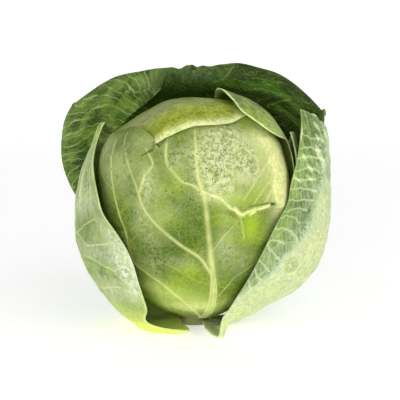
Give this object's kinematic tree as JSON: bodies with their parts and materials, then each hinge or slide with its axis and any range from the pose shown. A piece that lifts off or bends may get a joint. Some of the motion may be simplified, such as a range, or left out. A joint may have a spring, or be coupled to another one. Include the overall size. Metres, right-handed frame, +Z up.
{
  "type": "cabbage head",
  "caption": "Round green cabbage as picked: a firm head of packed leaves on its cut stem, cupped by loose outer leaves, one of which arches over the crown as a hood.",
  "frame": {"origin": "centre of the stem's cut face, on the surface the cabbage rests on", "axes": "+Z up from the stem to the crown, -Y towards the front that the open outer leaves show, +X to the right as seen from the front"},
  "size_m": [0.2274, 0.181, 0.2149],
  "materials": {
    "stem": "pale fibrous cut stump, dull",
    "packed_leaves": "pale yellow-green leaf, satin",
    "head_leaf": "mid green leaf with pale veins and a grey waxy bloom, satin",
    "crown_leaf": "yellow-green leaf with dark flecks, satin",
    "shoulder_leaf": "light green leaf with a paler edge, satin",
    "side_leaf": "pale green leaf, satin",
    "pale_outer_leaf": "pale grey-green leaf back with fine light veins, matt",
    "ribbed_outer_leaf": "blue-green leaf edge with white ribs, pale towards its back, matt",
    "dark_outer_leaf": "dark green leaf with fine pale veins and a greyish rolled rim, satin"
  },
  "bodies": {
    "root": {"stem": "stem", "inner_head": "packed_leaves", "front_leaf": "head_leaf", "crown_leaf": "crown_leaf", "shoulder_leaf": "shoulder_leaf", "side_leaf": "side_leaf", "left_outer_leaf": "pale_outer_leaf", "right_outer_leaf": "ribbed_outer_leaf", "back_outer_leaf": "dark_outer_leaf"}
  },
  "joints": []
}
